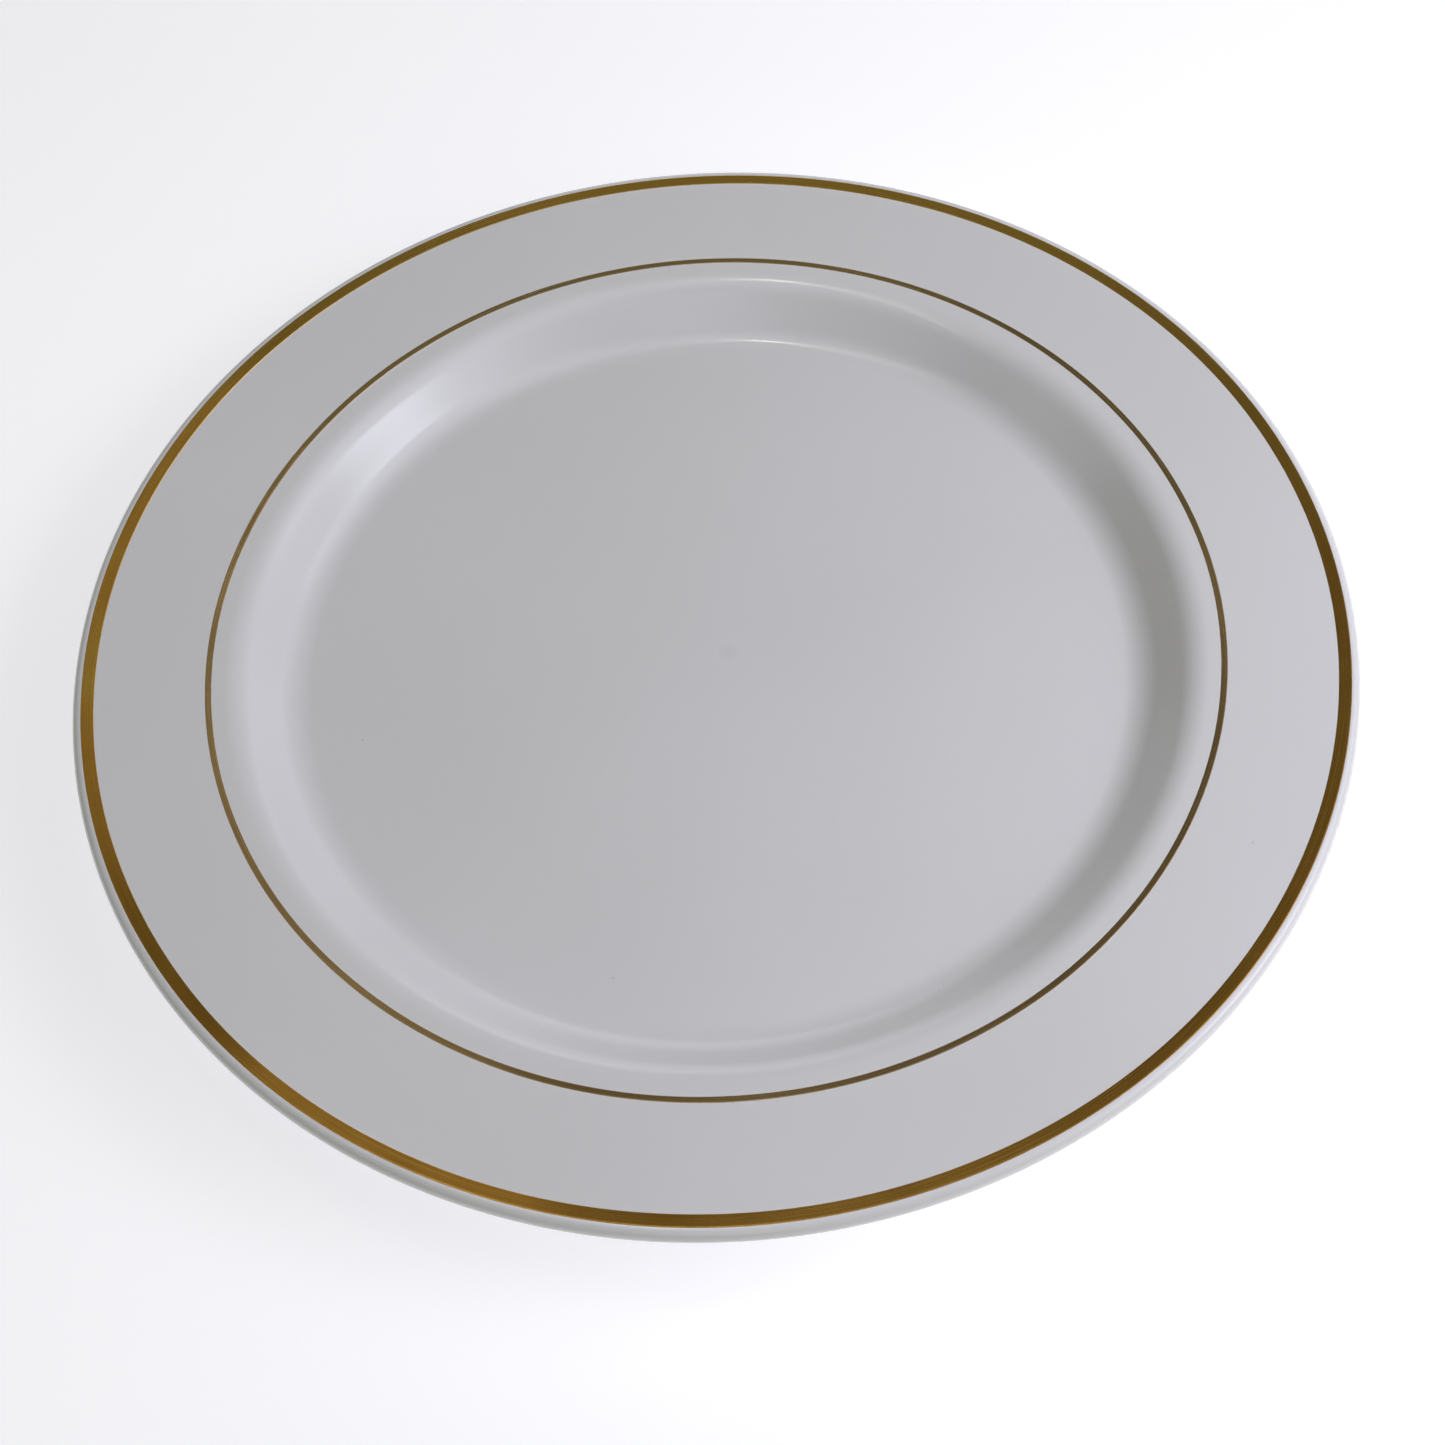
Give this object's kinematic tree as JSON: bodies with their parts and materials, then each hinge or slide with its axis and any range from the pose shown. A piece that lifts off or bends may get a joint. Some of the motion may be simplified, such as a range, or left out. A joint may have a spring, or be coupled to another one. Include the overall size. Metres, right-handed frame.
{
  "type": "dinner plate",
  "caption": "Round white china dinner plate with a flat rim, a shallow well and a foot ring, trimmed with a gold edge band and a fine gold line round the well.",
  "frame": {"origin": "centre of the circle the foot ring stands on", "axes": "+Z is the plate's axis of symmetry, pointing up out of the well; X and Y lie in the table plane"},
  "size_m": [0.267, 0.267, 0.0216],
  "materials": {
    "china_glaze": "clear glossy glaze over white china; bare, matt china on the standing face of the foot ring",
    "gold_lustre": "fired burnished gold, satin to bright"
  },
  "bodies": {
    "root": {"plate_body": "china_glaze", "rim_gold_band": "gold_lustre", "well_gold_line": "gold_lustre"}
  },
  "joints": []
}
